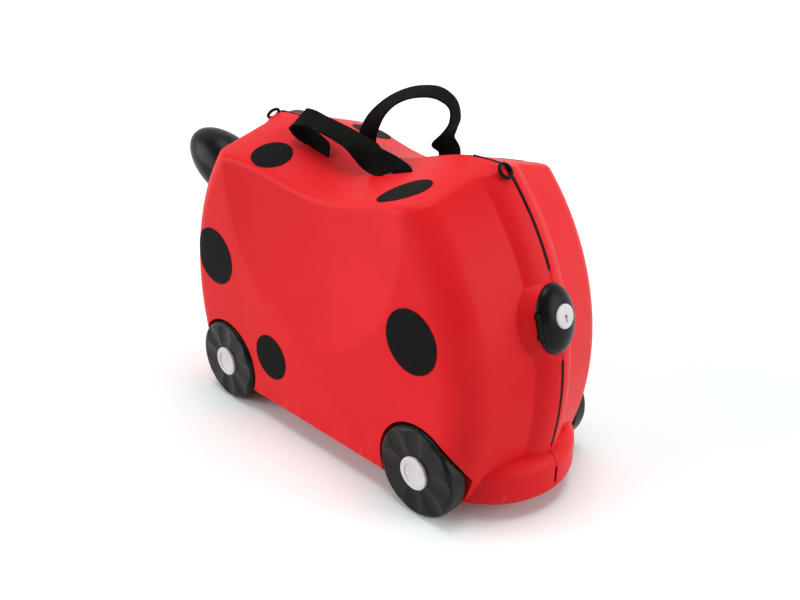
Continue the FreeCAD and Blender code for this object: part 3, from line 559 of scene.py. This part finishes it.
def lay_flat_band(start, end, width):
    """A straight band in a plane across the case: its width is square to its run, in that plane."""
    length = (end - start).length
    run = (end - start).normalized()
    across = Vector((0, 1, 0)).cross(run)
    start_clean()
    bpy.ops.mesh.primitive_grid_add(x_subdivisions=BAND_COLUMNS, y_subdivisions=round(length / ROW_STEP),
                                    size=1.0)
    band = bpy.context.object
    for corner in band.data.uv_layers.active.data:
        corner.uv = (corner.uv[0] * width * CENTIMETRES, corner.uv[1] * length * CENTIMETRES)
    for vertex in band.data.vertices:
        share, side = vertex.co.y + 0.5, 2 * vertex.co.x
        vertex.co = start + run * (length * share) + across * (side * width / 2)
    return band


for name, slope in (("packing_strap_lower", -1), ("packing_strap_upper", 1)):
    low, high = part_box(name)
    middle = (low.y + high.y) / 2
    band = lay_flat_band(pack_end(low.x, middle, slope), pack_end(high.x, middle, slope), PACK_WIDTH)
    thicken(band, PACK_THICK)
    settle(band, name.replace("strap", "band"), pack_webbing, "left_half")
    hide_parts(name)
    print(band.name, "faces", len(band.data.polygons))

# %% [markdown]
# ## Spots
# The round spots are printed films on the shell. Each starts as a disc that is inset ring by ring, so
# that it has enough faces to bend. A Shrinkwrap modifier then presses it straight onto the shell, and
# a thin Solidify gives it the film's thickness. The rear spot on the roof is oval, and both halves
# carry the same spots, mirrored.

# %% Spots
FILM_LIFT = 0.00015
FILM_THICK = 0.0003
SPOT_EDGES = 72
SPOT_RINGS = 8
SIDE_START = 0.12
ROOF_START = 0.36
# Each spot: name, place, radius and, on the roof, its width as a share of its length.
SIDE_SPOTS = [("front", 0.155, 0.166, 0.031), ("middle", 0.066, 0.079, 0.0245),
              ("rear", -0.137, 0.172, 0.030)]
ROOF_SPOTS = [("front", 0.085, 0.066, 0.0205, 1.0), ("rear", -0.099, 0.067, 0.0235, 0.68)]


def film_disc(centre, radius, turn, share=1.0):
    """A disc of rings. Its width may be only a share of its length."""
    start_clean()
    bpy.ops.mesh.primitive_circle_add(vertices=SPOT_EDGES, radius=radius, fill_type="NGON",
                                      location=centre, rotation=turn)
    disc = bpy.context.object
    bpy.ops.object.mode_set(mode="EDIT")
    bpy.ops.mesh.select_all(action="SELECT")
    for ring in range(SPOT_RINGS):
        bpy.ops.mesh.inset(thickness=radius / (SPOT_RINGS + 0.5))
    bpy.ops.mesh.poke()
    bpy.ops.object.mode_set(mode="OBJECT")
    disc.scale.y = share
    bpy.ops.object.transform_apply(location=True, rotation=True, scale=True)
    return disc


def press_on(disc, shell, axis):
    """Press the disc straight down onto the shell's outer face."""
    settings = {"target": shell, "wrap_method": "PROJECT", "use_negative_direction": True,
                "use_positive_direction": True, "offset": FILM_LIFT, "wrap_mode": "ABOVE_SURFACE"}
    settings["use_project_" + axis] = True
    add_modifier(disc, "SHRINKWRAP", **settings)
    add_modifier(disc, "SOLIDIFY", thickness=FILM_THICK, offset=1.0)
    bpy.ops.object.shade_smooth_by_angle(angle=math.radians(40))


for half, mirror in (("left", 1), ("right", -1)):
    shell = nodes[half + "_shell"]
    for name, x, z, radius in SIDE_SPOTS:
        disc = film_disc((x, mirror * SIDE_START, z), radius, (-mirror * RIGHT_ANGLE, 0, 0))
        press_on(disc, shell, "y")
        settle(disc, f"spot_side_{name}_{half}", finishes["spot_black"], half + "_half")
    for name, x, y, radius, share in ROOF_SPOTS:
        disc = film_disc((x, mirror * y, ROOF_START), radius, (0, 0, mirror * RIGHT_ANGLE / 2), share)
        press_on(disc, shell, "z")
        settle(disc, f"spot_roof_{name}_{half}", finishes["spot_black"], half + "_half")

# %% [markdown]
# ## Floor and light
# A product picture on white needs a floor that is white where nothing shades it and still holds the
# soft shadow. The floor is plain matt. The camera sees it a little brighter than it is for the light
# that it throws back, and slightly less red, because the case spills red light onto it. Behind the case
# the studio is white, and behind the camera it is a dim room, which gives black plastic its depth. Two
# broad lamps stand low at the left and right, rather behind the case, so the corner that faces the
# camera stays darkest. The lamp above is small and keeps the shadow close to the case.

# %% Floor
def ray_kind(finish, kind):
    """1 for rays of this kind, 0 for all others."""
    return Amount(finish, finish.node("ShaderNodeLightPath").outputs[f"Is {kind} Ray"])


def shown_directly(finish):
    """1 for the camera and for mirror-like surfaces, 0 for light that falls on things."""
    mirrored = ray_kind(finish, "Glossy").most(ray_kind(finish, "Transmission"))
    return mirrored.most(ray_kind(finish, "Camera"))


FLOOR_TINT = tint(205, 205, 205)
FLOOR_SHOWN = (1.1, 1.18, 1.18, 1.0)


def floor_finish():
    finish = Finish("floor_white")
    finish.tree.nodes.remove(finish.shader)
    colour = finish.blend(shown_directly(finish), FLOOR_TINT, FLOOR_SHOWN)
    matt = finish.node("ShaderNodeBsdfDiffuse", values={"Color": colour})
    finish.tree.links.new(matt.outputs[0], finish.tree.nodes["Material Output"].inputs["Surface"])
    return finish.material


FLOOR_SIZE = 30.0
start_clean()
bpy.ops.mesh.primitive_plane_add(size=FLOOR_SIZE)
floor = bpy.context.object
floor.name = "floor"
floor.data.materials.append(floor_finish())

# %% Lamps and surroundings
AMBIENT = 0.55
ROOM_DIM = 0.8
studio = Finish("studio", world=True)
parts = studio.parts_of(studio.node("ShaderNodeTexCoord").outputs["Generated"])
facing = sum(part * -share for part, share in zip(parts, look))
room = (1 - facing.fade(-0.2, 0.75) * ROOM_DIM).most(ray_kind(studio, "Camera"))
shown = shown_directly(studio)
studio.set(Color=(1, 1, 1, 1), Strength=room * (shown + (1 - shown) * AMBIENT))
bpy.context.scene.world = studio.material


def lamp(name, toward, strength, spread):
    """A broad, far lamp: toward points from the case to the lamp, spread is its width in degrees."""
    start_clean()
    bpy.ops.object.light_add(type="SUN")
    made = bpy.context.object
    made.name = name
    made.rotation_euler = Vector(toward).to_track_quat("Z", "Y").to_euler()
    made.data.energy = strength
    made.data.angle = math.radians(spread)


lamp("panel_left", (0.75, 1.0, 0.35), 2.0, 45)
lamp("panel_right", (-1.0, -0.45, 0.35), 1.55, 45)
lamp("panel_top", (0.0, 0.0, 1.0), 1.25, 32)
